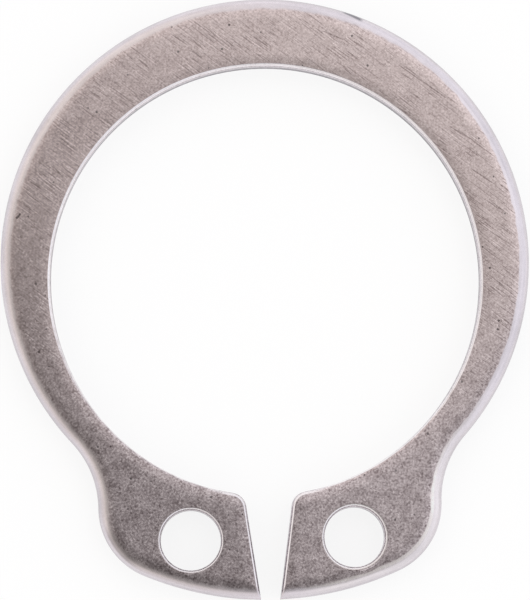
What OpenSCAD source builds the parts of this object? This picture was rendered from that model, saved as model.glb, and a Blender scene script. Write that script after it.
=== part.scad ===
// External retaining ring for a 14 mm shaft, stamped in one piece from spring steel sheet.
// The origin is on the bore axis, level with the flat underside. +Z is up, towards the rolled
// edges, and the gap lies on the -Y side.

/* [Ring] */
// Free bore diameter, before the ring is sprung onto its shaft
bore_d = 12.9; // [12:0.1:13.8]
// Thickness of the sheet
sheet = 1.0; // [0.6:0.05:1.5]
// Radial width of the band opposite the gap
band_back = 2.05; // [1.7:0.05:2.4]
// Radial width that the band narrows to on the gap side
band_front = 0.95; // [0.7:0.05:1.3]

/* [Lugs] */
// Radial depth of the lugs, measured from the bore
lug_depth = 3.13; // [2.9:0.01:3.5]
// Width across both lugs
lug_span = 10.3; // [9.7:0.1:11]
// Radius of each lug's outer corner
shoulder_r = 2.2; // [1.6:0.1:2.5]
// Radius of the fillet between each lug and the band
neck_r = 2.9; // [1.8:0.1:3.5]

/* [Plier holes] */
// Diameter of the holes
hole_d = 1.8; // [1.3:0.05:1.95]
// Distance between the hole centres
hole_pitch = 4.9; // [4.5:0.1:5.4]
// Radial distance from the bore to the hole centres
hole_inset = 1.7; // [1.5:0.01:1.85]

/* [Gap] */
// Width of the gap at the outer ends of the lugs
gap_tip = 0.58; // [0.35:0.01:0.9]
// Slope of each gap face, opening towards the bore, in degrees
gap_slope = 8.0; // [5:0.1:10]
// Radius between each gap face and the bore
gap_corner_r = 0.48; // [0.3:0.01:0.6]

/* [Edges] */
// Width of the rolled upper edge round the outside
outer_roll = 0.3; // [0.18:0.01:0.38]
// Width of the rolled upper edges of the bore, the gap and the holes
inner_roll = 0.12; // [0.06:0.01:0.18]

/* [Hidden] */
$fa = 3;
$fs = 0.05;
steel = [0.70, 0.66, 0.63];

// Slope at which a rolled edge leaves the upper face, in degrees
roll_entry = 10;
// Radius of a rolled edge's arc, for each unit of its width
roll_bend = 1.25;
// Arcs that run into each other overlap by this much, so that their walls cross cleanly
blend = 0.002;
// Cutters reach this far past the faces of the sheet
past = sheet / 2;

// The band's outer circle is set off from the bore axis, so the band narrows towards the gap
bore_r = bore_d / 2;
band_r = bore_r + (band_back + band_front) / 2;
band_centre = [0, (band_back - band_front) / 2];

// Right-hand lug: its outer corner rolls inside the lug's arc, and the neck fillet touches
// that corner and the band
lug_r = bore_r + lug_depth;
shoulder_x = lug_span / 2 - shoulder_r;
shoulder = [shoulder_x, -sqrt(pow(lug_r - shoulder_r, 2) - pow(shoulder_x, 2))];
neck = point_from(band_centre, band_r + neck_r, shoulder, shoulder_r + neck_r);
hole = [hole_pitch / 2, -sqrt(pow(bore_r + hole_inset, 2) - pow(hole_pitch / 2, 2))];

// Right-hand gap face: where it ends outside, the way along it to the bore, and the way into the lug
gap_end = [gap_tip / 2, -lug_r];
gap_along = [sin(gap_slope), cos(gap_slope)];
gap_into = [cos(gap_slope), -sin(gap_slope)];
// The gap is cut this far each way from that end, into the bore and out past the lug
gap_inner = lug_depth + 2 * gap_corner_r;
gap_outer = gap_tip / 2;

// The gap corner's arc touches the gap face and the bore
gap_offset = gap_into * gap_end + gap_corner_r;
gap_corner = gap_offset * gap_into - sqrt(pow(bore_r + gap_corner_r, 2) - pow(gap_offset, 2)) * gap_along;

// Point at distance ra from a and rb from b, to the left of the way from a to b
function point_from(a, ra, b, rb) =
    let (
        span = norm(b - a),
        way = (b - a) / span,
        on = (ra * ra - rb * rb + span * span) / (2 * span)
    )
    a + on * way + sqrt(ra * ra - on * on) * [-way[1], way[0]];

function unit(v) = v / norm(v);

module both_lugs() {
    children();
    mirror([1, 0, 0]) children();
}

// Section that a rolled edge takes off a corner: the face runs to -X of it and the wall below it
module roll_section(width) {
    bend = roll_bend * width;
    lead = bend * sin(roll_entry);
    fall = bend * cos(roll_entry);
    inside = width + lead / 2;
    outside = width / 2;
    difference() {
        translate([-inside, -fall]) square([inside + outside, fall + 2 * past]);
        translate([-width - lead, -fall]) circle(bend);
    }
}

// Disc of sheet with a rolled upper edge, lengthened by extra at both ends
module disc(r, roll, extra = 0) {
    rotate_extrude() difference() {
        translate([0, -extra]) square([r, sheet + 2 * extra]);
        translate([r, sheet]) roll_section(roll);
    }
}

// Round cutter that leaves a rolled upper edge
module punch(r, roll) {
    rotate_extrude() union() {
        translate([0, -past]) square([r, sheet + 2 * past]);
        translate([r, sheet]) mirror([1, 0]) roll_section(roll);
    }
}

// Straight prism through the sheet, with room past both faces
module through(points) {
    translate([0, 0, -past]) linear_extrude(sheet + 2 * past) polygon(points);
}

// Sector of the lugs' outer arc, from one outer corner to the other
module lug_sector() {
    side = 2 * lug_r * unit(shoulder);
    intersection() {
        disc(lug_r, outer_roll);
        through([[0, 0], side, [-side[0], side[1]]]);
    }
}

// The ring's outside, before the bore, the gap and the holes are punched
module blank() {
    difference() {
        union() {
            translate(band_centre) disc(band_r, outer_roll);
            lug_sector();
            both_lugs() {
                translate(shoulder) disc(shoulder_r + blend, outer_roll);
                linear_extrude(sheet) polygon([[0, 0], shoulder, neck, band_centre]);
            }
        }
        both_lugs() translate(neck) punch(neck_r + blend, outer_roll);
    }
}

// The tapered gap, with a rolled edge along each face
module gap() {
    outer = gap_end - gap_outer * gap_along;
    inner = gap_end + gap_inner * gap_along;
    through([outer, inner, [-inner[0], inner[1]], [-outer[0], outer[1]]]);
    both_lugs()
        translate([gap_end[0], gap_end[1], sheet])
            rotate(-gap_slope)
                translate([0, gap_inner, 0])
                    rotate([90, 0, 0])
                        linear_extrude(gap_inner + gap_outer) mirror([1, 0]) roll_section(inner_roll);
}

// Waste outside the right-hand gap corner's arc
module corner_waste() {
    reach = gap_corner_r + inner_roll;
    to_gap = -gap_into;
    to_bore = -unit(gap_corner);
    difference() {
        through([
            gap_corner,
            gap_corner + reach * to_gap,
            gap_corner + 2 * reach * unit(to_gap + to_bore),
            gap_corner + reach * to_bore
        ]);
        translate(gap_corner) disc(gap_corner_r + blend, inner_roll, 2 * past);
    }
}

module retaining_ring() {
    color(steel) difference() {
        blank();
        punch(bore_r, inner_roll);
        gap();
        both_lugs() {
            corner_waste();
            translate(hole) punch(hole_d / 2, inner_roll);
        }
    }
}

retaining_ring();
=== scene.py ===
"""Dressed scene of an external retaining ring, stamped from spring steel sheet.

The ring lies on its flat underside, with its rolled edges up and its gap towards -Y, in the
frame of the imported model. Sizes are in millimetres unless a name says otherwise.
"""

import functools
import logging
import math
from dataclasses import dataclass, field, replace
from enum import Enum, IntEnum
from typing import Any, ClassVar, Iterable, NamedTuple, Sequence, Union

import bmesh
import bpy
from bmesh.types import BMEdge, BMesh, BMVert
from mathutils import Matrix, Vector


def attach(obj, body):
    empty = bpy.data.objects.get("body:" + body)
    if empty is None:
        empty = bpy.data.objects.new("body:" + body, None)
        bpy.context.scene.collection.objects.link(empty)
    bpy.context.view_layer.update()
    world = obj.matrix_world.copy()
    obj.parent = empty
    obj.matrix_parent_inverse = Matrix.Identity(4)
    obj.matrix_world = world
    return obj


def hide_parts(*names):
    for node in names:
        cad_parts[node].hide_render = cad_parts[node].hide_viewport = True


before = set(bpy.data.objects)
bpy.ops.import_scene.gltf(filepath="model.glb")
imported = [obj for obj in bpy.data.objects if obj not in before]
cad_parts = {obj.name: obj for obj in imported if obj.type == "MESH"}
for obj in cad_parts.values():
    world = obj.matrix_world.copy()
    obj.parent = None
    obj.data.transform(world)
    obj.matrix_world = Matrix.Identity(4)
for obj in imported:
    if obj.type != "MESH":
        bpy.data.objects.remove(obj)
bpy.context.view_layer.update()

NODE = "retaining_ring"
BODY = "root"
LEVEL = "level"
SURFACE = "surface"
BURNISH = "burnish"
ROLL = "roll"
SCAR = "scar"
MM = 0.001
SHEET = 1.0

log = logging.getLogger("retaining_ring")

Number = Union[float, "Value"]
Colour = tuple[float, float, float]
Span = tuple[float, float]


def clamped(number: float) -> float:
    """A number kept between 0 and 1."""
    return min(max(number, 0.0), 1.0)


class Surface(IntEnum):
    """Material slots of the ring, by the way each surface was made."""

    FACE = 0
    RIM = 1
    LIP = 2
    WALL = 3


class Mode(Enum):
    """Ways of mixing two colours."""

    MIX = "MIX"
    MULTIPLY = "MULTIPLY"
    ADD = "ADD"


@dataclass(frozen=True)
class Value:
    """A number that varies over a surface; arithmetic on it adds Math nodes.

    Attributes:
        nodes: The tree that it belongs to.
        socket: The output socket that carries it.
    """

    nodes: "Nodes"
    socket: bpy.types.NodeSocket

    def _maths(self, operation: str, *terms: Number) -> "Value":
        """Adds one Math node."""
        return self.nodes.add("ShaderNodeMath", {"operation": operation}, dict(enumerate(terms)))

    def __add__(self, other: Number) -> "Value":
        """self + other."""
        return self._maths("ADD", self, other)

    def __radd__(self, other: Number) -> "Value":
        """other + self."""
        return self._maths("ADD", other, self)

    def __sub__(self, other: Number) -> "Value":
        """self - other."""
        return self._maths("SUBTRACT", self, other)

    def __rsub__(self, other: Number) -> "Value":
        """other - self."""
        return self._maths("SUBTRACT", other, self)

    def __mul__(self, other: Number) -> "Value":
        """self * other."""
        return self._maths("MULTIPLY", self, other)

    def __rmul__(self, other: Number) -> "Value":
        """other * self."""
        return self._maths("MULTIPLY", other, self)

    def __truediv__(self, other: Number) -> "Value":
        """self / other."""
        return self._maths("DIVIDE", self, other)

    def most(self, other: Number) -> "Value":
        """The larger of self and other."""
        return self._maths("MAXIMUM", self, other)

    def arccos(self) -> "Value":
        """Angle whose cosine is self, in radians."""
        return self._maths("ARCCOSINE", self)

    def toward(self, other: "Value", share: Number) -> "Value":
        """A share of the way from self to other."""
        return self + (other - self) * share

    def step(self, low: float, high: float) -> "Value":
        """Goes smoothly from 0 at low to 1 at high, which may be the smaller.

        Args:
            low: The value that gives 0.
            high: The value that gives 1.

        Returns:
            The stepped value.
        """
        first, last, start, end = (low, high, 0.0, 1.0) if low < high else (high, low, 1.0, 0.0)
        return self.nodes.add(
            "ShaderNodeMapRange",
            {"interpolation_type": "SMOOTHSTEP"},
            {"Value": self, "From Min": first, "From Max": last, "To Min": start, "To Max": end},
        )


class Nodes:
    """A node tree that is filled by one method."""

    def __init__(self, owner: Union[bpy.types.Material, bpy.types.World]) -> None:
        """Starts an empty tree on a material or a world."""
        owner.use_nodes = True
        self.tree = owner.node_tree
        self.tree.nodes.clear()

    def add(
        self,
        kind: str,
        settings: dict[str, Any] | None = None,
        sockets: dict[str | int, Any] | None = None,
        output: str | int = 0,
    ) -> Value | None:
        """Adds a node.

        Args:
            kind: The node's type.
            settings: Its own properties, set before its sockets.
            sockets: Values or links of its inputs, by name or number.
            output: The output to hand on, by name or number.

        Returns:
            That output, or None if the node has none.
        """
        node = self.tree.nodes.new(kind)
        for name, setting in (settings or {}).items():
            setattr(node, name, setting)
        for name, value in (sockets or {}).items():
            if isinstance(value, Value):
                self.tree.links.new(value.socket, node.inputs[name])
            else:
                node.inputs[name].default_value = value
        return Value(self, node.outputs[output]) if node.outputs else None

    def place(self) -> Value:
        """Object coordinates in millimetres."""
        metres = self.add("ShaderNodeTexCoord", output="Object")
        return self.scaled(metres, 1.0 / MM)

    def scaled(self, vector: Value, factor: float) -> Value:
        """A vector times a number."""
        settings = {"operation": "SCALE"}
        return self.add("ShaderNodeVectorMath", settings, {0: vector, "Scale": factor})

    def mapped(self, vector: Value, turn: float = 0.0, scale: Sequence[float] = (1, 1, 1)) -> Value:
        """Coordinates turned about Z and then stretched.

        Args:
            vector: The coordinates.
            turn: Turn about Z, in degrees.
            scale: Factor along each turned axis.

        Returns:
            The new coordinates.
        """
        turned = self.add(
            "ShaderNodeMapping", None, {"Vector": vector, "Rotation": (0, 0, math.radians(turn))}
        )
        return self.add("ShaderNodeMapping", None, {"Vector": turned, "Scale": tuple(scale)})

    def axis(self, vector: Value, name: str) -> Value:
        """One coordinate of a vector, by its letter."""
        return self.add("ShaderNodeSeparateXYZ", None, {0: vector}, name)

    def side(self, place: Value, x: Span, y: Span) -> Value:
        """Masks one side of the ring.

        Args:
            place: Coordinates on the ring.
            x: Stretch of X over which the mask goes from 0 to 1.
            y: The same, of Y.

        Returns:
            The mask.
        """
        return self.axis(place, "X").step(*x) * self.axis(place, "Y").step(*y)

    def attribute(self, name: str) -> Value:
        """A number that is kept on the mesh."""
        return self.add("ShaderNodeAttribute", {"attribute_name": name}, None, "Fac")

    def along(self, vector: Value, way: Sequence[float]) -> Value:
        """How far a vector reaches along a fixed one."""
        settings = {"operation": "DOT_PRODUCT"}
        return self.add("ShaderNodeVectorMath", settings, {0: vector, 1: tuple(way)}, "Value")

    def drawn(self, vector: Value, stretch: float, across: Value) -> Value:
        """Coordinates for lines that are drawn out along an edge.

        Args:
            vector: Coordinates on the ring.
            stretch: Factor along the edge.
            across: Number that changes across it.

        Returns:
            The new coordinates.
        """
        plan = [self.axis(vector, name) * stretch for name in "XY"]
        return self.add("ShaderNodeCombineXYZ", None, dict(enumerate((*plan, across))))

    def cells(self, vector: Value, scale: float, output: str) -> Value:
        """Scattered points: the distance from the nearest, or its own random colour.

        Args:
            vector: Coordinates that they lie in.
            scale: Points for each unit of the coordinates.
            output: "Distance" or "Color".

        Returns:
            That output.
        """
        settings = {"voronoi_dimensions": "2D"}
        sockets = {"Vector": vector, "Scale": scale}
        return self.add("ShaderNodeTexVoronoi", settings, sockets, output)

    def distance(self, vector: Value, point: Sequence[float]) -> Value:
        """Distance of a vector from a fixed point."""
        settings = {"operation": "DISTANCE"}
        return self.add("ShaderNodeVectorMath", settings, {0: vector, 1: tuple(point)}, "Value")

    def noise(self, vector: Value, scale: float, detail: float = 2.0, rough: float = 0.5) -> Value:
        """Noise from 0 to 1 with a mean of about a half.

        Args:
            vector: Coordinates that it follows.
            scale: Lumps for each unit of the coordinates.
            detail: Number of finer layers.
            rough: Strength of the finer layers.

        Returns:
            The noise.
        """
        return self.add(
            "ShaderNodeTexNoise",
            None,
            {"Vector": vector, "Scale": scale, "Detail": detail, "Roughness": rough},
        )

    def blend(self, mask: Number, first: Any, second: Any, mode: Mode = Mode.MIX) -> Value:
        """Mixes two colours.

        Args:
            mask: 0 gives the first colour and 1 the second.
            first: A colour or a link.
            second: A colour or a link.
            mode: How the second goes onto the first.

        Returns:
            The mixed colour.
        """
        sides = [c if isinstance(c, Value) else (*c, 1.0) for c in (first, second)]
        return self.add(
            "ShaderNodeMix",
            {"data_type": "RGBA", "blend_type": mode.value},
            {0: mask, 6: sides[0], 7: sides[1]},
            2,
        )

    def grey(self, value: Value) -> Value:
        """A value as a grey colour."""
        return self.add("ShaderNodeCombineColor", None, {0: value, 1: value, 2: value})

    def steel(
        self,
        coat: "Coat",
        depth: float,
        glance: Colour = (1.0, 1.0, 1.0),
        bare: Number = 1.0,
    ) -> None:
        """Ends a material as steel.

        Args:
            coat: Its finish.
            depth: Depth of the relief for one unit of its height, in millimetres.
            glance: Tint of what it reflects at a glancing angle.
            bare: 1 where the steel is bare, and less where it has a film of oxide.
        """
        normal = self.add(
            "ShaderNodeBump", None, {"Strength": 1.0, "Distance": depth * MM, "Height": coat.height}
        )
        sockets = {
            "Base Color": coat.colour,
            "Metallic": bare,
            "Roughness": coat.rough,
            "Specular Tint": (*glance, 1.0),
            "Normal": normal,
        }
        shader = self.add("ShaderNodeBsdfPrincipled", None, sockets)
        self.add("ShaderNodeOutputMaterial", None, {"Surface": shader})


class Coat(NamedTuple):
    """How a finish looks.

    Attributes:
        colour: Base colour.
        rough: Roughness.
        height: Relief.
    """

    colour: Value
    rough: Value
    height: Value


@dataclass(frozen=True)
class RolledRim:
    """Upper edges, drawn round by the punch and burnished by tumbling.

    Attributes:
        name: Name of the material.
        tone: Colour of the burnished steel.
        scar_tone: Colour in a nick.
        warm: Painted warm highlight: tint of the left-hand side, next to the face.
        painted_highlight: Painted highlight: a brighter tint on the lower right-hand side, next to
            the face.
        painted_highlight_x: Stretch of X over which that sets in.
        painted_highlight_y: The same, of Y.
        foot: Painted shade: how much darker the rim is painted next to the wall.
        dim_spot: Where the inner half of the rim is darker, on the left-hand shoulder.
        dim_spot_depth: How much darker it is there.
        rough: Mean roughness.
    """

    name: str = "rolled_rim"
    tone: Colour = (0.745, 0.695, 0.735)
    scar_tone: Colour = (0.26, 0.25, 0.28)
    warm: Colour = (1.0, 0.975, 0.92)
    painted_highlight: Colour = (1.13, 1.135, 1.09)
    painted_highlight_x: Span = (0.5, 2.0)
    painted_highlight_y: Span = (-2.0, -7.0)
    foot: float = 0.15
    dim_spot: tuple[float, float, float] = (-4.62, -8.02, 0.9)
    dim_spot_depth: float = 0.36
    rough: float = 0.27

    def coat(self, nodes: Nodes, place: Value) -> Coat:
        """Lays the finish.

        Args:
            nodes: The tree to add to.
            place: Coordinates on the ring.

        Returns:
            The finish.
        """
        roll = nodes.attribute(ROLL)
        grain = nodes.noise(place, 9.0, 2.0, 0.6) - 0.5
        cloud = nodes.noise(place, 1.4, 1.0) - 0.5
        line = nodes.noise(nodes.drawn(place, 0.4, roll * 2.8), 1.0, 2.0) - 0.5
        # The last term is painted shade on the rim next to the wall.
        shade = 1.0 + grain * 0.20 + cloud * 0.14 + line * 0.42 - roll.step(0.5, 0.95) * self.foot
        # Darkens the inner half of the rim round one place on the left-hand shoulder.
        dimmed = nodes.distance(place, self.dim_spot).step(0.95, 0.35) * roll.step(0.66, 0.42)
        shade = shade * (1.0 - dimmed * self.dim_spot_depth)
        clean = nodes.blend(1.0, self.tone, nodes.grey(shade), Mode.MULTIPLY)
        # Painted warm highlight on the inner part of the rim, on the left-hand side.
        left = nodes.axis(place, "X").step(1.5, -3.5) * roll.step(0.55, 0.1)
        clean = nodes.blend(left, clean, self.warm, Mode.MULTIPLY)
        # Painted highlight: brightens the rim on the lower right-hand side, next to the face.
        painted_highlight = nodes.side(place, self.painted_highlight_x, self.painted_highlight_y) * roll.step(0.85, 0.45)
        clean = nodes.blend(painted_highlight, clean, self.painted_highlight, Mode.MULTIPLY)
        colour = nodes.blend(nodes.attribute(SCAR), clean, self.scar_tone)
        return Coat(colour, self.rough + grain * 0.10 + cloud * 0.08, grain)

    def make(self) -> bpy.types.Material:
        """Builds the material."""
        material = bpy.data.materials.new(self.name)
        nodes = Nodes(material)
        nodes.steel(self.coat(nodes, nodes.place()), 0.002)
        return material


@dataclass(frozen=True)
class BrushedFace:
    """Flat faces: sheet rolled and brushed one way, then tumbled.

    Attributes:
        name: Name of the material.
        tone: Colour of the bare steel.
        lug_tone: Its colour on the lugs.
        streak_turn: Turn of the brushing below +X, in degrees.
        rough: Mean roughness.
        rim: Finish of the rolled edges, which the face runs into.
        spread: How much further that reaches on the right-hand shoulder.
        pits: Places of the larger pits.
        pit_size: Diameter of a pit.
        pit_count: Places for a small pit, for each millimetre.
        scratches: The deeper scratches of the upper face: X and Y of the middle, length, and turn
            below +X in degrees.
        scratch_width: Width of a scratch.
    """

    name: str = "brushed_face"
    tone: Colour = (0.570, 0.482, 0.470)
    lug_tone: Colour = (0.553, 0.480, 0.487)
    streak_turn: float = 38.0
    rough: float = 0.24
    # Rolled-edge finish where the face runs into it, with a stronger painted highlight on the lower
    # right.
    rim: RolledRim = RolledRim(painted_highlight=(1.33, 1.33, 1.23))
    spread: float = 1.5
    pits: tuple[tuple[float, float], ...] = (
        (-0.94, 7.70), (-1.17, 6.98), (-2.49, 6.92), (-4.97, 5.14), (-6.66, 4.43), (2.75, 7.30),
        (3.20, 6.40), (-7.41, 2.01), (-7.37, 2.05), (-7.33, 2.10), (-6.88, 0.01), (-6.83, -2.03),
        (6.74, 0.22), (6.97, -1.37), (6.93, -1.63), (5.82, -3.18), (-5.12, -4.91), (-4.15, -5.88),
        (4.76, -4.72), (3.72, -7.27), (-1.78, -6.48),
    )
    pit_size: float = 0.08
    pit_count: float = 0.9
    scratches: tuple[tuple[float, float, float, float], ...] = (
        (4.89, 5.85, 2.34, 36), (6.00, 4.28, 1.13, 32), (6.58, 2.99, 1.04, 35),
        (2.20, 7.32, 0.83, 25), (-3.53, 6.58, 0.48, 42), (-2.45, 7.29, 0.75, 35),
        (-0.02, 7.19, 0.74, 35), (-5.21, 5.13, 0.59, 39), (-6.16, 3.36, 0.42, 49),
    )
    scratch_width: float = 0.06

    def coat(self, nodes: Nodes, place: Value) -> Coat:
        """Lays the finish.

        Args:
            nodes: The tree to add to.
            place: Coordinates on the ring.

        Returns:
            The finish.
        """
        upper = self.upper(nodes, place)
        way = nodes.mapped(place, self.streak_turn, (1.3, 25.0, 4.0))
        streak = nodes.noise(way, 1.0, 1.0)
        patch = nodes.noise(place, 0.9, 1.0).step(0.42, 0.62)
        strength = upper * (0.45 + patch * 0.65)
        dark = (streak.step(0.45, 0.30) * strength).most(self.scratch(nodes, place))
        bright = streak.step(0.57, 0.72) * strength
        grain = nodes.cells(place, 21.0, "Color") - 0.5
        speckle = nodes.noise(place, 15.0, 3.0, 0.75) - 0.5 + grain * 0.20
        mottle = nodes.noise(place, 3.4, 2.0) - 0.5
        pit = self.pit(nodes, place)

        flecks = speckle * (2.9 - upper * 1.40) + mottle * (0.9 - upper * 0.45)
        flecks = flecks - dark * 0.40 + bright * 0.24
        # The last factor is painted light and shade: darker on the left, brighter at the top.
        shade = (1.015 + flecks * 0.5) * (1.0 - pit * 0.70) * self.painted_light(nodes, place)
        colour = nodes.blend(1.0, self.bare(nodes, place), nodes.grey(shade), Mode.MULTIPLY)
        colour = nodes.blend(1.0, colour, nodes.grey(flecks * 0.25), Mode.ADD)
        rough = self.rough + mottle * 0.10 + speckle * 0.10
        height = speckle * 0.8 - dark + bright * 0.6 - pit * 2.0
        return Coat(colour, rough, height)

    @staticmethod
    def upper(nodes: Nodes, place: Value) -> Value:
        """0 on the lugs and 1 on the upper half of the ring."""
        return nodes.axis(place, "Y").step(-7.0, 2.0)

    @staticmethod
    def painted_light(nodes: Nodes, place: Value) -> Value:
        """Painted light and shade: a factor that paints the left a little darker and the top a
        little brighter.
        """
        # Painted shade on the left-hand side; the last term is painted light at the top.
        dull = nodes.side(place, (0.5, -0.5), (5.0, 0.0))
        return 1.115 - dull * 0.19 + nodes.axis(place, "Y").step(4.5, 8.0) * 0.07

    def bare(self, nodes: Nodes, place: Value) -> Value:
        """Colour of the steel without its marks."""
        return nodes.blend(self.upper(nodes, place), self.lug_tone, self.tone)

    def scratch(self, nodes: Nodes, place: Value) -> Value:
        """Marks the deeper scratches.

        Args:
            nodes: The tree to add to.
            place: Coordinates on the ring.

        Returns:
            The mask, 1 in a scratch.
        """
        masks = []
        for x, y, length, turn in self.scratches:
            sockets = {
                "Vector": place,
                "Location": (x, y, SHEET),
                "Rotation": (0.0, 0.0, -math.radians(turn)),
                "Scale": (length / 2, self.scratch_width / 2, 1.0),
            }
            along = nodes.add("ShaderNodeMapping", {"vector_type": "TEXTURE"}, sockets)
            masks.append(nodes.distance(along, (0, 0, 0)).step(1.0, 0.5))
        return functools.reduce(Value.most, masks)

    def pit(self, nodes: Nodes, place: Value) -> Value:
        """Marks the pits.

        Args:
            nodes: The tree to add to.
            place: Coordinates on the ring.

        Returns:
            The mask, 1 in a pit.
        """
        spread = nodes.cells(place, self.pit_count, "Distance") / self.pit_count
        chosen = nodes.cells(place, self.pit_count, "Color").step(0.50, 0.56)
        mask = spread.step(self.pit_size * 0.45, self.pit_size * 0.2) * chosen
        settings = {"operation": "MULTIPLY"}
        flat = nodes.add("ShaderNodeVectorMath", settings, {0: place, 1: (1, 1, 0)})
        for x, y in self.pits:
            near = nodes.distance(flat, (x, y, 0)).step(self.pit_size * 0.6, self.pit_size * 0.25)
            mask = mask.most(near)
        return mask

    def make(self) -> bpy.types.Material:
        """Builds the material."""
        material = bpy.data.materials.new(self.name)
        nodes = Nodes(material)
        place = nodes.place()
        face, rim = self.coat(nodes, place), self.rim.coat(nodes, place)
        ragged = (nodes.noise(place, 3.0, 2.0) - 0.5) * 0.8
        wide = 1.0 + nodes.side(place, (1.5, 3.5), (-5.0, -7.5)) * self.spread
        edge = nodes.attribute(BURNISH) * wide + ragged
        right = nodes.axis(place, "X").step(2.0, 7.0)
        mask = edge.step(0.0, 1.0).toward(edge.step(0.30, 0.70), right)
        mixed = Coat(
            nodes.blend(mask, face.colour, rim.colour),
            face.rough.toward(rim.rough, mask),
            face.height.toward(rim.height, mask),
        )
        nodes.steel(mixed, 0.002)
        return material


@dataclass(frozen=True)
class InnerLip(BrushedFace):
    """Lips of the bore, the gap and the holes: burnished next to the face, greyer below.

    Attributes:
        foot_tone: Colour of the steel next to the wall.
    """

    name: str = "inner_lip"
    rim: RolledRim = RolledRim(
        tone=(0.92, 0.88, 0.90), warm=(1.0, 1.0, 1.0), painted_highlight=(1.0, 1.0, 1.0), foot=0.0
    )
    spread: float = 0.9
    foot_tone: Colour = (0.455, 0.400, 0.430)

    def bare(self, nodes: Nodes, place: Value) -> Value:
        """Colour of the steel without its marks."""
        upper = super().bare(nodes, place)
        return nodes.blend(nodes.attribute(ROLL).step(0.62, 0.88), upper, self.foot_tone)


@dataclass(frozen=True)
class ShearedWall:
    """Walls left by the punch: smooth above, torn and granular below.

    Attributes:
        tone: Colour of the steel.
        glance: Tint at a glancing angle.
        torn_z: Height where the torn part starts.
    """

    name: ClassVar[str] = "sheared_wall"
    tone: Colour = (0.46, 0.435, 0.46)
    glance: Colour = (0.82, 0.80, 0.83)
    torn_z: float = 0.38

    def make(self) -> bpy.types.Material:
        """Builds the material."""
        material = bpy.data.materials.new(self.name)
        nodes = Nodes(material)
        place = nodes.place()
        edge = nodes.noise(place, 1.6, 2.0) - 0.5
        torn = (nodes.axis(place, "Z") + edge * 0.25).step(self.torn_z + 0.05, self.torn_z - 0.05)
        drag = nodes.noise(nodes.mapped(place, 0.0, (10.0, 10.0, 1.2)), 1.0, 2.0) - 0.5
        grain = nodes.noise(place, 16.0, 3.0, 0.65) - 0.5
        shade = 0.86 + drag * 1.4 + grain * 1.5 - torn * 0.10
        colour = nodes.blend(1.0, self.tone, nodes.grey(shade), Mode.MULTIPLY)
        rough = 0.36 + torn * 0.20 + drag * 0.7 + grain * 0.6
        height = drag * 0.7 + grain * (0.6 + torn * 0.9)
        bare = 1.0 - nodes.noise(place, 11.0, 2.0).step(0.48, 0.60) * 0.75
        nodes.steel(Coat(colour, rough, height), 0.010, self.glance, bare)
        return material


@dataclass(frozen=True)
class PaleFloor:
    """Matt white floor that the camera and the steel see as plain white.

    Attributes:
        tone: Colour in other light.
        glow: Share of plain white that the camera sees; the rest keeps the shadow.
        white: Strength of that white, which makes up for the floor's own shade.
    """

    name: ClassVar[str] = "pale_floor"
    tone: Colour = (0.92, 0.92, 0.92)
    glow: float = 0.78
    white: float = 1.07

    def make(self) -> bpy.types.Material:
        """Builds the material."""
        material = bpy.data.materials.new(self.name)
        nodes = Nodes(material)
        matt = nodes.add("ShaderNodeBsdfDiffuse", None, {"Color": (*self.tone, 1.0)})
        glare = {"Color": (1, 1, 1, 1), "Strength": self.white}
        white = nodes.add("ShaderNodeEmission", None, glare)
        share = seen_ray(nodes) * self.glow
        mixed = nodes.add("ShaderNodeMixShader", None, {0: share, 1: matt, 2: white})
        nodes.add("ShaderNodeOutputMaterial", None, {"Surface": mixed})
        return material


def seen_ray(nodes: Nodes) -> Value:
    """1 for a ray from the camera, or one that steel or glass sends on.

    Args:
        nodes: The tree to add to.

    Returns:
        The mask.
    """
    rays = [
        nodes.add("ShaderNodeLightPath", output=name)
        for name in ("Is Camera Ray", "Is Glossy Ray", "Is Transmission Ray")
    ]
    return rays[0].most(rays[1]).most(rays[2])


class Spot(NamedTuple):
    """A point of an edge's section.

    Attributes:
        inset: Distance in from the wall.
        z: Height.
        above: Surface from here to the next point.
        burnish: How burnished the steel is here, from 0 to 1.
        roll: How far round a rolled edge it is, from 0 at the face to 1 at the wall.
    """

    inset: float
    z: float
    above: Surface
    burnish: float = 1.0
    roll: float = 0.0


class Level(NamedTuple):
    """One level of the edge's section, as it is on each kind of edge.

    Attributes:
        outside: Round the outside.
        gap: Along the gap.
        bore: Round the bore.
        hole: Round a plier hole.
    """

    outside: Spot
    gap: Spot
    bore: Spot
    hole: Spot


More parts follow.
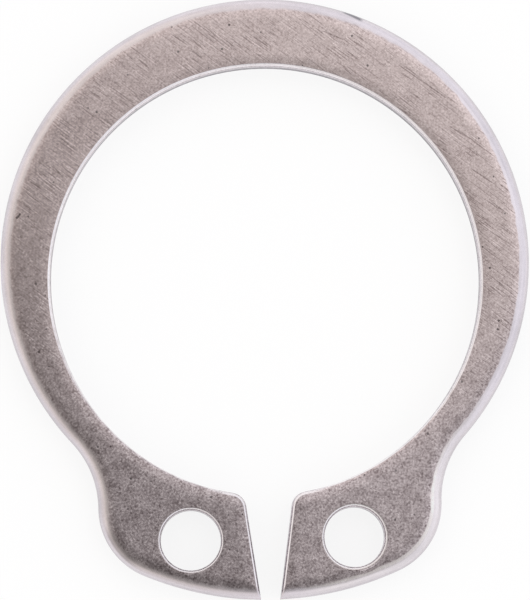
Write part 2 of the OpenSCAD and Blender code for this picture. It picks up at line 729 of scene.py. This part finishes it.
@dataclass(frozen=True)
class RolledEdge:
    """An upper edge drawn round by the punch: an arc that runs out on the face.

    Attributes:
        radius: Radius of the arc.
        leave: Slope at which the arc ends, in degrees.
        slope: Slope at which the run-out starts, in degrees.
        run: Width of the run-out.
        polish: Width on it over which the burnish fades.
        finish: Surface of the arc.
        bright: Slope below which the arc is burnished, in degrees.
        ease: Power by which the slope falls away over the run-out.
        arc_steps: Faces across the arc.
        run_steps: Faces across the run-out.
    """

    radius: float
    leave: float
    slope: float
    run: float
    polish: float
    finish: Surface
    bright: float = 91.0
    ease: float = 1.3
    arc_steps: ClassVar[int] = 12
    run_steps: ClassVar[int] = 6

    @property
    def arc_width(self) -> float:
        """Width of the arc."""
        return self.radius * (1 - math.sin(math.radians(self.leave)))

    @property
    def run_drop(self) -> float:
        """Depth below the face where the run-out starts."""
        return self.run * math.tan(math.radians(self.slope)) / (self.ease + 1)

    def drops(self) -> list[float]:
        """Lists depths below the face, from the foot of the arc to the end of the run-out."""
        leave = math.radians(self.leave)
        turns = [
            math.pi / 2 + (leave - math.pi / 2) * k / self.arc_steps for k in range(self.arc_steps)
        ]
        arc = [self.run_drop + self.radius * (math.cos(leave) - math.cos(turn)) for turn in turns]
        left = [1 - k / self.run_steps for k in range(self.run_steps + 1)]
        return arc + [self.run_drop * share ** (self.ease + 1) for share in left]

    def tilt(self, drop: float) -> float:
        """Slope of the arc at a depth below the face, in radians."""
        cosine = math.cos(math.radians(self.leave)) - (drop - self.run_drop) / self.radius
        return math.acos(clamped(cosine))

    def inset(self, drop: float) -> float:
        """Distance in from the wall at a depth below the face."""
        if drop > self.run_drop:
            return self.radius * (1 - math.sin(self.tilt(drop)))
        return self.arc_width + self.run * (1 - (drop / self.run_drop) ** (1 / (self.ease + 1)))

    def drop(self, inset: float) -> float:
        """Depth below the face of the run-out, at a distance in from the wall."""
        left = clamped(1 - (inset - self.arc_width) / self.run)
        return self.run_drop * left ** (self.ease + 1)

    def spot(self, drop: float, sheet: float) -> Spot:
        """Finds a point of the section.

        Args:
            drop: Depth below the face.
            sheet: Height of the face.

        Returns:
            The point.
        """
        inset = self.inset(drop)
        if drop > self.run_drop:
            burnish = 1.0 if self.tilt(drop) < math.radians(self.bright) else 0.0
            return Spot(inset, sheet - drop, self.finish, burnish, 1 - inset / self.arc_width)
        burnish = max(1 - (inset - self.arc_width) / self.polish, 0.0)
        return Spot(inset, sheet - drop, Surface.FACE, burnish)


@dataclass
class EdgeSection:
    """Section of the stamping's edge, as levels from the underside to the face.

    Attributes:
        sheet: Thickness.
        outer: Rolled edge round the outside.
        gap: Rolled edge along the gap.
        bore: Rolled edge of the bore, the same shape as the gap's.
        hole: Rolled edge of the plier holes.
        deburr: Radius of the lower edges, taken off by tumbling.
        tear: How far the torn lower part of a wall leans in.
        torn_top: Height where the torn part starts.
        deburr_steps: Faces across a lower edge.
        tear_bow: Shares of that lean, going up the wall.
        crease: Share of a crease's depth at which a second level follows it.
    """

    sheet: float = SHEET
    outer: RolledEdge = RolledEdge(
        radius=0.32, leave=12.5, slope=12.5, run=0.38, polish=0.12, finish=Surface.RIM
    )
    gap: RolledEdge = RolledEdge(
        radius=0.16, leave=30.0, slope=5.0, run=0.30, polish=0.015, finish=Surface.LIP,
        bright=56.0, ease=0.6,
    )
    bore: RolledEdge = replace(gap, bright=69.0)
    hole: RolledEdge = RolledEdge(
        radius=0.13, leave=30.0, slope=6.0, run=0.06, polish=0.02, finish=Surface.LIP, bright=54.0
    )
    deburr: float = 0.05
    tear: float = 0.018
    torn_top: float = 0.36
    deburr_steps: int = 3
    tear_bow: tuple[float, ...] = (1.0, 0.95, 0.7, 0.0, 0.0)
    crease: float = 0.96

    def __post_init__(self) -> None:
        """Lists the levels, from the underside up."""
        self.levels: list[Level] = []
        self._add_underside()
        self._add_walls()
        self._add_rolls()

    def _plain(self, spot: Spot) -> None:
        """Adds a level that is the same on all edges."""
        self.levels.append(Level(spot, spot, spot, spot))

    def _add_underside(self) -> None:
        """Adds the flat underside and its rounded edge."""
        self._plain(Spot(self.tear + 2 * self.deburr, 0.0, Surface.FACE, 0.0))
        for step in range(self.deburr_steps):
            turn = step / self.deburr_steps * math.pi / 2
            inset = self.tear + self.deburr * (1 - math.sin(turn))
            self._plain(Spot(inset, self.deburr * (1 - math.cos(turn)), Surface.RIM))

    def _add_walls(self) -> None:
        """Adds the torn and the smooth part of the walls."""
        low, high = self.deburr, self.torn_top
        heights = (low, low * 1.6, (low + high) / 2, high, high + low)
        for share, height in zip(self.tear_bow, heights):
            self._plain(Spot(self.tear * share, height, Surface.WALL))

    def _add_rolls(self) -> None:
        """Adds the tops of the walls and the rolled edges."""
        creases = [edge.run_drop for edge in (self.gap, self.hole)]
        creases += [drop * self.crease for drop in creases]
        drops = sorted({*self.outer.drops(), *creases}, reverse=True)
        self._plain(Spot(0.0, self.sheet - drops[0] - self.deburr / 2, Surface.WALL))
        self.roll_level = len(self.levels)
        self.face_level = self.roll_level + RolledEdge.arc_steps
        for drop in drops:
            edges = (self.outer, self.gap, self.bore, self.hole)
            self.levels.append(Level(*(edge.spot(drop, self.sheet) for edge in edges)))


class Place(NamedTuple):
    """Where a vertex of a section goes.

    Attributes:
        at: Its place.
        above: Surface from here to the section's next vertex.
        burnish: How burnished the steel is there.
        roll: How far round a rolled edge it is.
    """

    at: Vector
    above: Surface
    burnish: float
    roll: float


@dataclass
class Sweep:
    """Draws the edge of the stamping by sweeping its section round the outline.

    Attributes:
        mesh: The mesh that is drawn in.
        chord: Longest edge of an arc.
        at: Where the outline has got to.
        column: Vertices of the section there, from the underside up.
    """

    mesh: BMesh
    chord: float
    at: Vector = field(default_factory=Vector)
    column: list[BMVert] = field(default_factory=list)

    def __post_init__(self) -> None:
        """Finds or adds the layers that keep each vertex's level, surface, burnish and roll."""
        whole, part = self.mesh.verts.layers.int, self.mesh.verts.layers.float
        self.level = whole.get(LEVEL) or whole.new(LEVEL)
        self.surface = whole.get(SURFACE) or whole.new(SURFACE)
        self.burnish = part.get(BURNISH) or part.new(BURNISH)
        self.roll = part.get(ROLL) or part.new(ROLL)

    def start(self, at: Vector, places: Sequence[Place]) -> None:
        """Draws a first section.

        Args:
            at: Where the outline starts.
            places: Places of its vertices, from the underside up.
        """
        self.at = at
        self.column = []
        for number, place in enumerate(places):
            if not self.column:
                vert = self.mesh.verts.new(place.at)
            else:
                vert = bmesh.ops.extrude_vert_indiv(self.mesh, verts=[self.column[-1]])["verts"][0]
            vert[self.level] = number
            self.column.append(vert)
        self.put(places)

    def put(self, places: Sequence[Place]) -> None:
        """Moves the section's vertices to places of their own."""
        for vert, place in zip(self.column, places):
            vert.co, vert[self.surface], vert[self.burnish], vert[self.roll] = place

    def edges(self) -> list[BMEdge]:
        """Edges of the section."""
        inside = set(self.column)
        return [e for e in {e for v in self.column for e in v.link_edges} if set(e.verts) <= inside]

    def arc(self, centre: Vector, to: Vector) -> None:
        """Spins the section about a centre, the shorter way.

        Args:
            centre: The arc's centre.
            to: Where the outline gets to.
        """
        first, last = self.at - centre, to - centre
        angle = math.atan2(first.cross(last), first.dot(last))
        steps = math.ceil(abs(angle) * first.length / self.chord)
        spun = bmesh.ops.spin(
            self.mesh,
            geom=[*self.column, *self.edges()],
            cent=centre.to_3d(),
            axis=(0, 0, 1),
            angle=angle,
            steps=steps,
        )
        self._arrive(to, spun["geom_last"])

    def line(self, to: Vector, places: Sequence[Place], stops: Sequence[float] = ()) -> None:
        """Stretches the section straight to new places.

        Args:
            to: Where the outline gets to.
            places: Places of the section's vertices there, from the underside up.
            stops: Shares of the way at which it stops on the way there.
        """
        first = [vert.co.copy() for vert in self.column]
        for share in (*stops, 1.0):
            drawn = bmesh.ops.extrude_edge_only(self.mesh, edges=self.edges())
            self._arrive(to, drawn["geom"])
            self.put([p._replace(at=start.lerp(p.at, share)) for start, p in zip(first, places)])

    def ring(self, centre: Vector, places: Sequence[Place]) -> list[BMVert]:
        """Spins a section of its own all the way round.

        Args:
            centre: The ring's centre.
            places: Places of the section's vertices, from the underside up.

        Returns:
            The ring's vertices.
        """
        others = set(self.mesh.verts)
        self.start(places[0].at.xy, places)
        radius = max((place.at.xy - centre).length for place in places)
        bmesh.ops.spin(
            self.mesh,
            geom=[*self.column, *self.edges()],
            cent=centre.to_3d(),
            axis=(0, 0, 1),
            angle=2 * math.pi,
            steps=math.ceil(2 * math.pi * radius / self.chord),
            use_merge=True,
        )
        return [vert for vert in self.mesh.verts if vert not in others]

    def _arrive(self, to: Vector, geometry: Iterable[Any]) -> None:
        """Notes where the section has got to."""
        self.at = to
        found = {g for g in geometry if isinstance(g, BMVert)}
        self.column = sorted(found, key=lambda v: v[self.level])


@dataclass
class RingOutline:
    """Plan of the ring, made of arcs that run into each other.

    Attributes:
        bore_d: Free bore diameter.
        band_back: Radial width of the band opposite the gap.
        band_front: Radial width that the band narrows to on the gap side.
        lug_depth: Radial depth of the lugs, from the bore.
        lug_span: Width across both lugs.
        shoulder_r: Radius of each lug's outer corner.
        neck_r: Radius of the fillet between each lug and the band.
        hole_d: Diameter of the plier holes.
        hole_pitch: Distance between the hole centres.
        hole_inset: Radial distance from the bore to the hole centres.
        gap_tip: Width of the gap at the outer ends of the lugs.
        gap_slope: Slope of each gap face, in degrees.
        gap_corner_r: Radius between each gap face and the bore.
        dull_left: How far towards the gap the bore's left edge starts to dull, and is dullest.
        dull_right: The same, of its right edge.
        dull_gap: How far from the middle of the gap the bore's edge starts to dull, and is dullest.
        dull_fall: Loss of burnish across the dull edge, for each width of its arc.
        gap_shift: How far the gap is to the right of the ring's middle.
        gap_reach: How far from the middle the lugs give way to that.
        hole_shift: How far the plier holes are off their places.
        hole_lean: How far a plier hole leans towards the gap side, from the face to the underside.
        hole_clear: Least width of each band of a run-out beside a plier hole.
        tip_room: Room beyond the run-outs in which the edges at the tip of a lug meet.
        tip_stop: Share of the way to the tip at which there is a section more.
    """

    bore_d: float = 12.9
    band_back: float = 2.05
    band_front: float = 0.95
    lug_depth: float = 3.13
    lug_span: float = 10.3
    shoulder_r: float = 2.2
    neck_r: float = 2.9
    hole_d: float = 1.8
    hole_pitch: float = 4.9
    hole_inset: float = 1.7
    gap_tip: float = 0.58
    gap_slope: float = 8.0
    gap_corner_r: float = 0.48
    dull_left: Span = (0.0, 4.0)
    dull_right: Span = (2.4, 5.4)
    dull_gap: Span = (1.1, 1.9)
    dull_fall: float = 1.4
    gap_shift: float = -0.04
    gap_reach: float = 2.2
    hole_shift: Span = (0.054, 0.03)
    hole_lean: float = 0.045
    hole_clear: float = 0.012
    tip_room: float = 0.2
    tip_stop: float = 0.88

    def __post_init__(self) -> None:
        """Works out the centres of the right-hand half's arcs, and the gap face's directions."""
        self.bore_r = self.bore_d / 2
        self.band_r = self.bore_r + (self.band_back + self.band_front) / 2
        self.lug_r = self.bore_r + self.lug_depth
        self.axis = Vector((0.0, 0.0))
        self.band = Vector((0.0, (self.band_back - self.band_front) / 2))
        shoulder_x = self.lug_span / 2 - self.shoulder_r
        self.shoulder = self.below(shoulder_x, self.lug_r - self.shoulder_r)
        self.neck = self.apex(
            self.band, self.band_r + self.neck_r, self.shoulder, self.shoulder_r + self.neck_r
        )
        self.hole = self.below(self.hole_pitch / 2, self.bore_r + self.hole_inset)

        slope = math.radians(self.gap_slope)
        self.gap_along = Vector((math.sin(slope), math.cos(slope)))
        self.gap_into = Vector((math.cos(slope), -math.sin(slope)))
        self.gap_tip_point = Vector((self.gap_tip / 2, -self.lug_r))
        offset = self.gap_into.dot(self.gap_tip_point) + self.gap_corner_r
        reach = math.sqrt((self.bore_r + self.gap_corner_r) ** 2 - offset**2)
        self.corner = self.gap_into * offset - self.gap_along * reach

    @staticmethod
    def below(x: float, r: float) -> Vector:
        """Point on the gap side at x, at distance r from the axis."""
        return Vector((x, -math.sqrt(r * r - x * x)))

    @staticmethod
    def apex(a: Vector, ra: float, b: Vector, rb: float) -> Vector:
        """Finds a point from its distances to two others.

        Args:
            a: First point.
            ra: Distance from it.
            b: Second point.
            rb: Distance from it.

        Returns:
            The point to the left of the way from a to b.
        """
        span = (b - a).length
        way = (b - a) / span
        on = (ra * ra - rb * rb + span * span) / (2 * span)
        return a + on * way + math.sqrt(ra * ra - on * on) * Vector((-way.y, way.x))

    @staticmethod
    def touch(centre: Vector, other: Vector, r: float) -> Vector:
        """Point of a circle that faces another point."""
        return centre + (other - centre).normalized() * r

    def mitre(self, outside: float, inside: float) -> Vector:
        """Finds where the lug's outer arc meets the gap face, both moved into the lug.

        Args:
            outside: How far the arc is moved.
            inside: How far the face is moved.

        Returns:
            The meeting point.
        """
        foot = self.gap_tip_point + self.gap_into * inside
        lead = foot.dot(self.gap_along)
        reach = math.sqrt(lead**2 - foot.length_squared + (self.lug_r - outside) ** 2)
        return foot - self.gap_along * (lead + reach)

    def sweep(self, mesh: BMesh, section: EdgeSection, chord: float) -> None:
        """Sweeps the section round the right-hand half.

        Args:
            mesh: An empty mesh.
            section: Section of the edge.
            chord: Longest edge of an arc.
        """
        pen = Sweep(mesh, chord)
        outside = [level.outside for level in section.levels]
        gap = [level.gap for level in section.levels]
        bore = [level.bore for level in section.levels]

        top = self.band + Vector((0, self.band_r))
        pen.start(top, self.places(top, Vector((0, -1)), outside))
        pen.arc(self.band, self.touch(self.band, self.neck, self.band_r))
        pen.arc(self.neck, self.touch(self.shoulder, self.neck, self.shoulder_r))
        pen.arc(self.shoulder, self.touch(self.axis, self.shoulder, self.lug_r))
        clear = self.gap_tip_point.x + gap[-1].inset + self.tip_room
        pen.arc(self.axis, self.below(clear, self.lug_r))

        tip = self.mitre(0.0, 0.0)
        pen.line(tip, [self.tip(*spots) for spots in zip(outside, gap)], [self.tip_stop])
        near = tip + self.gap_along * (outside[-1].inset + self.tip_room)
        pen.line(near, self.places(near, self.gap_into, gap), [1 - self.tip_stop])
        start = self.corner - self.gap_into * self.gap_corner_r
        count = math.ceil((start - near).length / (2 * chord))
        stops = [k / count for k in range(1, count)]
        pen.line(start, self.places(start, self.gap_into, gap), stops)
        pen.arc(self.corner, self.touch(self.axis, self.corner, self.bore_r))
        pen.put(self.places(pen.at, pen.at.normalized(), bore))
        pen.arc(self.axis, Vector((0, self.bore_r)))

    def shift_gap(self, mesh: BMesh) -> None:
        """Moves the gap a little to one side, as the punch did.

        Args:
            mesh: The swept edges of both halves.
        """
        for vert in mesh.verts:
            if vert.co.y < 0:
                share = min(abs(vert.co.x) / self.gap_reach, 1.0)
                vert.co.x += self.gap_shift * (1 - share * share * (3 - 2 * share))

    def punch_holes(self, mesh: BMesh, section: EdgeSection, chord: float) -> None:
        """Adds the walls and edges of the plier holes.

        Args:
            mesh: The swept edges of both halves.
            section: Section of the edge.
            chord: Longest edge of an arc.
        """
        pen = Sweep(mesh, chord)
        spots = [level.hole for level in section.levels]
        right = Vector((1, 0))
        x, y = self.hole
        centres = [Vector((way * x, y)) + Vector(self.hole_shift) for way in (1, -1)]
        for centre in centres:
            self.draw_back(pen, section, centre)
        for centre in centres:
            side = centre + right * self.hole_d / 2
            for vert in pen.ring(centre, self.places(side, right, spots)):
                vert.co.y -= self.hole_lean * (1 - vert.co.z / section.sheet)

    @staticmethod
    def places(at: Vector, way: Vector, spots: Sequence[Spot]) -> list[Place]:
        """Puts a section at a place of the outline.

        Args:
            at: The place.
            way: The way into the steel.
            spots: Points of the section.

        Returns:
            Places of its vertices.
        """
        return [Place(Vector((*(at + way * s.inset), s.z)), *s[2:]) for s in spots]

    def tip(self, outside: Spot, inside: Spot) -> Place:
        """Place of a vertex at the tip of the lug, where its two edges meet."""
        flat = self.mitre(outside.inset, inside.inset)
        return Place(Vector((*flat, outside.z)), *outside[2:])

    def dull_bore(self, mesh: BMesh, section: EdgeSection) -> None:
        """Leaves the bore's rolled edge less burnished towards the gap.

        Args:
            mesh: The swept edges of both halves.
            section: Section of the edge.
        """
        burnish = mesh.verts.layers.float[BURNISH]
        for vert in mesh.verts:
            share = (vert.co.xy.length - self.bore_r) / section.bore.arc_width
            if vert.co.y < 0 and 0 <= share < 2:
                start, end = self.dull_right if vert.co.x > 0 else self.dull_left
                low = clamped((-vert.co.y - start) / (end - start))
                start, end = self.dull_gap
                low *= clamped((abs(vert.co.x) - start) / (end - start))
                dull = max(1 - self.dull_fall * share, 0.0)
                vert[burnish] += (dull - vert[burnish]) * low

    def draw_back(self, pen: Sweep, section: EdgeSection, centre: Vector) -> None:
        """Draws the run-outs of the outer edge back from a plier hole.

        Args:
            pen: The pen that swept them.
            section: Section of the edge.
            centre: The hole's centre.
        """
        last = len(section.levels) - 1
        room = self.hole_d / 2 + section.levels[last].hole.inset
        for vert in pen.mesh.verts:
            level = vert[pen.level]
            if level > section.face_level:
                away = vert.co.xy - centre
                push = room + self.hole_clear * (last - level + 1) - away.length
                if push > 0:
                    vert.co.xy += away.normalized() * push
                    inset = section.levels[level].outside.inset - push
                    vert.co.z = section.sheet - section.outer.drop(inset)


@dataclass(frozen=True)
class Nick:
    """A nick that slants across the rolled outer edge.

    Attributes:
        start: Where it starts.
        end: Where it ends.
        half: Half its width.
        depth: How deep it goes.
        gain: How steeply its dark floor sets in.
    """

    start: tuple[float, float] = (2.52, 8.07)
    end: tuple[float, float] = (3.05, 7.80)
    half: float = 0.06
    depth: float = 0.03
    gain: float = 1.6

    def cut(self, mesh: BMesh, section: EdgeSection) -> None:
        """Presses the nick into the edge.

        Args:
            mesh: The swept edges of both halves.
            section: Section of the edge.
        """
        level = mesh.verts.layers.int[LEVEL]
        scar = mesh.verts.layers.float.new(SCAR)
        start = Vector(self.start)
        along = Vector(self.end) - start
        for vert in mesh.verts:
            if section.roll_level <= vert[level] <= section.face_level:
                off = vert.co.xy - start
                share = clamped(off.dot(along) / along.length_squared)
                near = 1 - (off - along * share).length / self.half
                if near > 0:
                    vert[scar] = min(self.gain * near, 1.0)
                    vert.co.z -= self.depth * near


@dataclass
class RetainingRing:
    """The stamped ring, one piece.

    Attributes:
        outline: Its plan.
        section: Section of its edges.
        nick: Damage from handling.
        chord: Longest edge of an arc.
        name: Name of the piece.
    """

    outline: RingOutline = field(default_factory=RingOutline)
    section: EdgeSection = field(default_factory=EdgeSection)
    nick: Nick = field(default_factory=Nick)
    chord: float = 0.12
    name: str = "stamped_ring"

    def build(self) -> bpy.types.Object:
        """Models the ring.

        Returns:
            The ring's object, without materials.
        """
        mesh = bmesh.new()
        self.outline.sweep(mesh, self.section, self.chord)
        weld = self.chord / 100
        half = [*mesh.verts, *mesh.edges, *mesh.faces]
        bmesh.ops.mirror(mesh, geom=half, axis="X", merge_dist=weld)
        bmesh.ops.remove_doubles(mesh, verts=mesh.verts, dist=weld)
        self.outline.dull_bore(mesh, self.section)
        self.outline.shift_gap(mesh)
        self.outline.punch_holes(mesh, self.section, self.chord)
        self.nick.cut(mesh, self.section)
        self.fill(mesh)
        bmesh.ops.recalc_face_normals(mesh, faces=mesh.faces)
        bmesh.ops.scale(mesh, verts=mesh.verts, vec=(MM, MM, MM))
        data = bpy.data.meshes.new(self.name)
        mesh.to_mesh(data)
        mesh.free()
        ring = bpy.data.objects.new(self.name, data)
        bpy.context.scene.collection.objects.link(ring)
        return ring

    def fill(self, mesh: BMesh) -> None:
        """Closes the face and the underside, and gives each face its surface.

        Args:
            mesh: The swept edges of both halves.
        """
        level = mesh.verts.layers.int[LEVEL]
        surface = mesh.verts.layers.int[SURFACE]
        last = len(self.section.levels) - 1
        for end in (0, last):
            rim = [e for e in mesh.edges if e.is_boundary and all(v[level] == end for v in e.verts)]
            bmesh.ops.triangle_fill(mesh, use_beauty=True, edges=rim, normal=(0, 0, 1))
        for face in mesh.faces:
            face.smooth = True
            lowest = min(face.verts, key=lambda v: v[level])
            face.material_index = lowest[surface]

    def dress(self, ring: bpy.types.Object) -> None:
        """Gives the ring its finishes and its place in the frame.

        Args:
            ring: The modelled ring.
        """
        finishes = {
            Surface.FACE: BrushedFace(),
            Surface.RIM: RolledRim(),
            Surface.LIP: InnerLip(),
            Surface.WALL: ShearedWall(),
        }
        for surface in Surface:
            ring.data.materials.append(finishes[surface].make())
        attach(ring, BODY)
        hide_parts(NODE)


@dataclass
class Softbox:
    """An oblong area lamp that faces down.

    Attributes:
        name: Its name.
        at: Where its middle is.
        turn: Turn about Z, in degrees.
        size: Length and width.
        glow: Radiance, where 1 is white.
        tint: Colour.
    """

    name: str
    at: tuple[float, float, float]
    turn: float
    size: tuple[float, float]
    glow: float
    tint: Colour = (1.0, 1.0, 1.0)

    def build(self) -> bpy.types.Object:
        """Puts the lamp in the scene.

        Returns:
            The lamp.
        """
        data = bpy.data.lights.new(self.name, "AREA")
        data.shape = "RECTANGLE"
        data.size, data.size_y = (side * MM for side in self.size)
        data.energy = self.glow * math.pi * data.size * data.size_y
        data.color = self.tint
        lamp = bpy.data.objects.new(self.name, data)
        lamp.location = Vector(self.at) * MM
        lamp.rotation_euler = (0.0, 0.0, math.radians(self.turn))
        lamp.visible_camera = False
        bpy.context.scene.collection.objects.link(lamp)
        return lamp


@dataclass
class Studio:
    """Floor, sky and lamp.

    Attributes:
        floor_side: Length of the floor's sides.
        sky: Brightness of the sky.
        spot: Brightness in the middle of its dim part, above the camera.
        spot_way: The way to that middle.
        spot_edge: Angle from there at which the sky is at its full brightness, in degrees.
        lean: How much brighter the sky gets along each axis.
        warm: Colour of the sky on the left.
        cool: Colour of the sky on the right.
        lamp: The softbox.
    """

    floor_side: float = 4000.0
    sky: float = 0.925
    spot: float = 0.18
    spot_way: tuple[float, float, float] = (-0.109, -0.234, 0.966)
    spot_edge: float = 46.0
    lean: tuple[float, float, float] = (0.040, 0.060, 0.0)
    warm: Colour = (1.03, 0.985, 0.955)
    cool: Colour = (0.985, 0.99, 1.03)
    lamp: Softbox = field(
        default_factory=lambda: Softbox(
            "softbox", (27.3, 17.0, 72.0), 15.6, (62.8, 34.6), 0.25, (1.0, 0.99, 0.97)
        )
    )

    def build(self) -> None:
        """Puts everything in the scene."""
        self.lay_floor()
        self.light_sky()
        self.lamp.build()
        bpy.context.scene.view_settings.view_transform = "Standard"

    def lay_floor(self) -> bpy.types.Object:
        """Lays the floor under the ring.

        Returns:
            The floor.
        """
        mesh = bmesh.new()
        bmesh.ops.create_grid(mesh, x_segments=1, y_segments=1, size=self.floor_side * MM / 2)
        data = bpy.data.meshes.new("floor")
        mesh.to_mesh(data)
        mesh.free()
        data.materials.append(PaleFloor().make())
        floor = bpy.data.objects.new("floor", data)
        bpy.context.scene.collection.objects.link(floor)
        return floor

    def light_sky(self) -> None:
        """Makes a sky that is dim overhead, where the camera is, and bright all round."""
        world = bpy.data.worlds.new("studio")
        bpy.context.scene.world = world
        nodes = Nodes(world)
        way = nodes.add("ShaderNodeTexCoord", output="Generated")
        off = nodes.along(way, self.spot_way).arccos().step(0.0, math.radians(self.spot_edge))
        glow = self.spot + off * (self.sky - self.spot) + nodes.along(way, self.lean)
        tint = nodes.blend(nodes.axis(way, "X").step(-0.7, 0.7), self.warm, self.cool)
        sky = nodes.add("ShaderNodeBackground", None, {"Color": tint, "Strength": glow})
        white = nodes.add("ShaderNodeBackground", None, {"Color": (1, 1, 1, 1), "Strength": 1.0})
        camera = nodes.add("ShaderNodeLightPath", output="Is Camera Ray")
        mixed = nodes.add("ShaderNodeMixShader", None, {0: camera, 1: sky, 2: white})
        nodes.add("ShaderNodeOutputWorld", None, {"Surface": mixed})


@dataclass
class Camera:
    """Camera above the ring, almost square to it.

    Attributes:
        at: Where it is.
        roll: Turn about the line of sight, in degrees.
        nod: Turn about the picture's own X axis, in degrees.
        pan: Turn about the upright axis, in degrees.
        lens: Focal length.
        sensor: Length of the sensor's longer side.
    """

    at: tuple[float, float, float] = (-2.513, -7.206, 120.0)
    roll: float = 1.2
    nod: float = -3.175
    pan: float = 1.195
    lens: float = 238.565
    sensor: float = 36.0

    def build(self) -> bpy.types.Object:
        """Puts the camera in the scene.

        Returns:
            The camera.
        """
        data = bpy.data.cameras.new("camera")
        data.lens = self.lens
        data.sensor_width = self.sensor
        data.clip_start, data.clip_end = 0.01, 20.0
        turns = ((self.roll, "Z"), (self.nod, "X"), (self.pan, "Y"))
        to_camera = Matrix.Identity(3)
        for angle, axis in turns:
            to_camera = to_camera @ Matrix.Rotation(math.radians(angle), 3, axis)
        camera = bpy.data.objects.new("camera", data)
        camera.matrix_world = (
            Matrix.Translation(Vector(self.at) * MM) @ to_camera.transposed().to_4x4()
        )
        bpy.context.scene.collection.objects.link(camera)
        bpy.context.scene.camera = camera
        return camera


def main() -> None:
    """Builds the ring, the studio and the camera, and reports each piece."""
    logging.basicConfig(level=logging.INFO, format="%(name)s: %(message)s", force=True)
    stamping = RetainingRing()
    ring = stamping.build()
    stamping.dress(ring)
    counts = len(ring.data.vertices), len(ring.data.polygons)
    log.info("%s: %d vertices, %d faces", ring.name, *counts)
    Studio().build()
    log.info("floor, sky and lamp are in place")
    camera = Camera().build()
    log.info("%s at %s", camera.name, tuple(round(c, 4) for c in camera.location))


if __name__ == "__main__":
    main()
